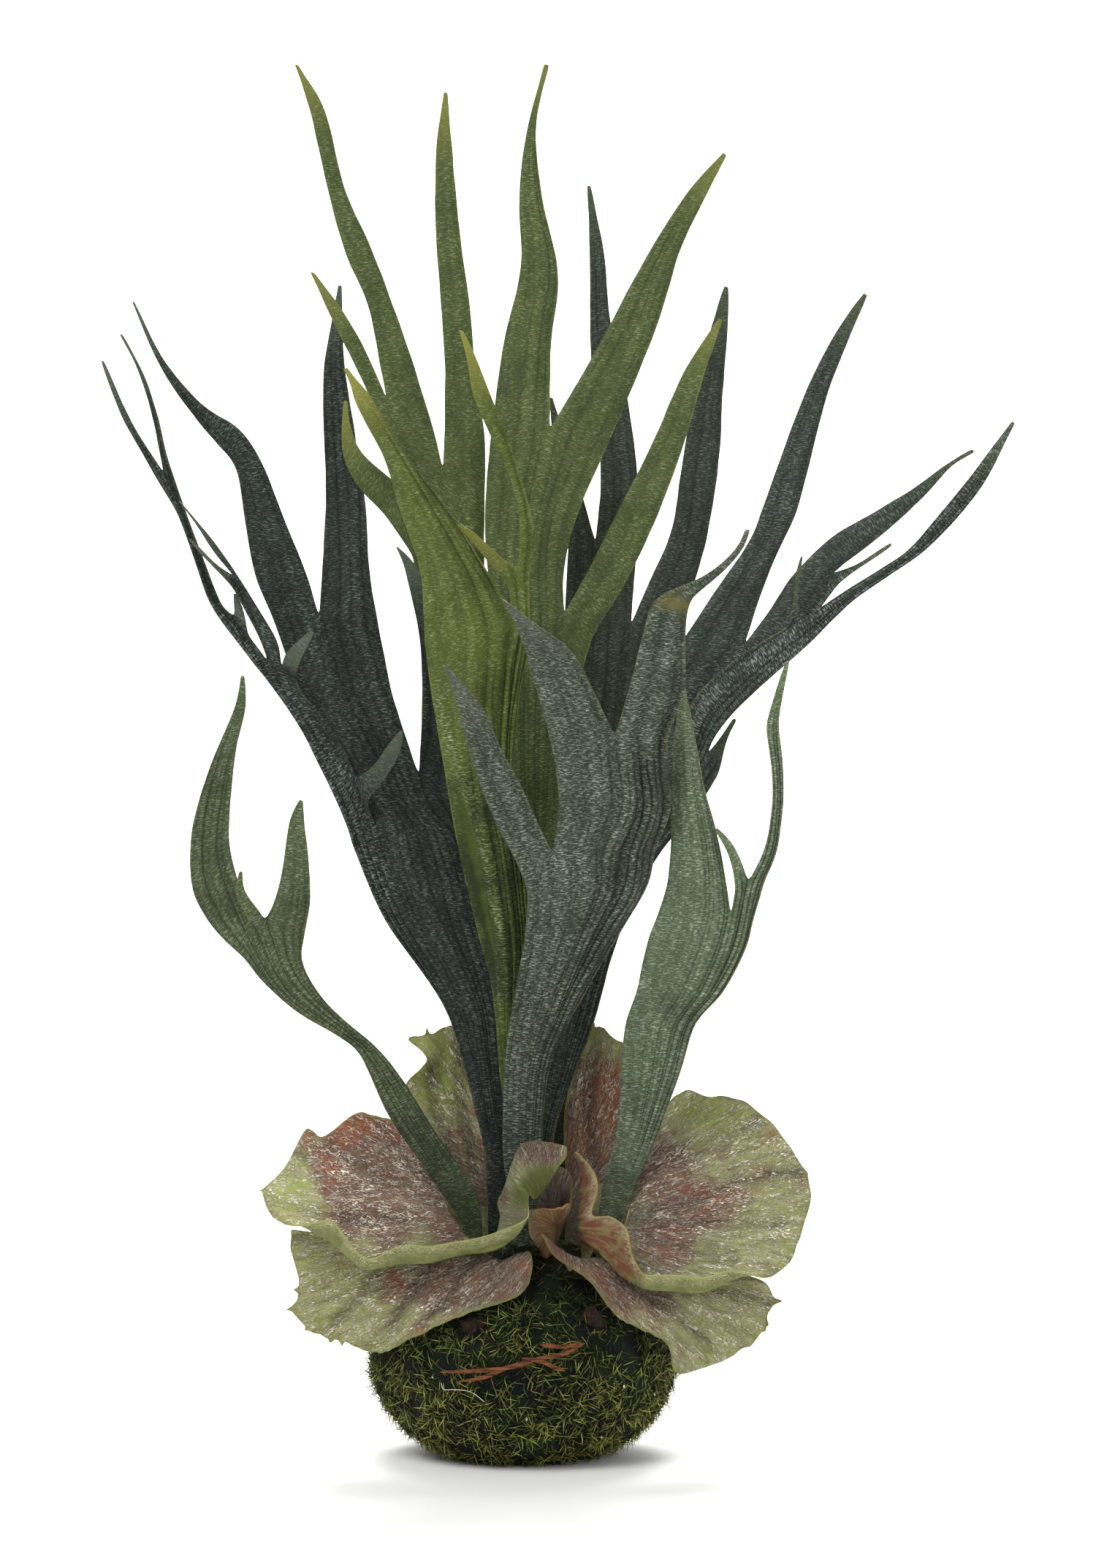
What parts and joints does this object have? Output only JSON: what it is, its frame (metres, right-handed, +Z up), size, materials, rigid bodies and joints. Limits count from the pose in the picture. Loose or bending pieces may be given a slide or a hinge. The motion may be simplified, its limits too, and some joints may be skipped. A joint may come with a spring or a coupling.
{
  "type": "staghorn fern on moss ball",
  "caption": "Staghorn fern growing on a moss ball, with forked antler fronds standing up and round shield fronds that clasp the ball.",
  "frame": {"origin": "centre of the flat spot under the moss ball, which it rests on", "axes": "+Z up along the plant's height, -Y towards the front, +X to the right seen from the front"},
  "size_m": [0.3162, 0.1673, 0.4843],
  "materials": {
    "moss": "dark green living moss with fine bright strands, fully matte",
    "frond_grey_green": "leathery leaf, satin, with pale felted hairs",
    "frond_light_green": "leathery leaf, satin, with pale felted hairs",
    "frond_dark_green": "leathery leaf, satin, dark, with pale felted hairs",
    "shield_green": "thin papery leaf, matte, pale green with fine veins",
    "shield_brown": "dry papery leaf, matte, mauve-brown with an orange edge",
    "shield_yellow": "thin papery leaf, matte, yellow",
    "dry_needle": "dry reddish-brown needle, matte"
  },
  "bodies": {
    "root": {"moss_ball": "moss", "frond_front": "frond_grey_green", "frond_yellow_green": "frond_light_green", "frond_left": "frond_dark_green", "frond_rear_left": "frond_light_green", "frond_rear_centre": "frond_light_green", "frond_dark_rear": "frond_dark_green", "frond_right": "frond_dark_green", "frond_right_low": "frond_grey_green", "frond_left_low": "frond_grey_green", "shield_upper_left": "shield_brown", "shield_lower_left": "shield_green", "shield_rear_left": "shield_yellow", "shield_rear_right": "shield_brown", "shield_upper_right": "shield_green", "shield_lower_right": "shield_green", "shield_centre": "shield_brown", "dry_needles": "dry_needle"}
  },
  "joints": []
}
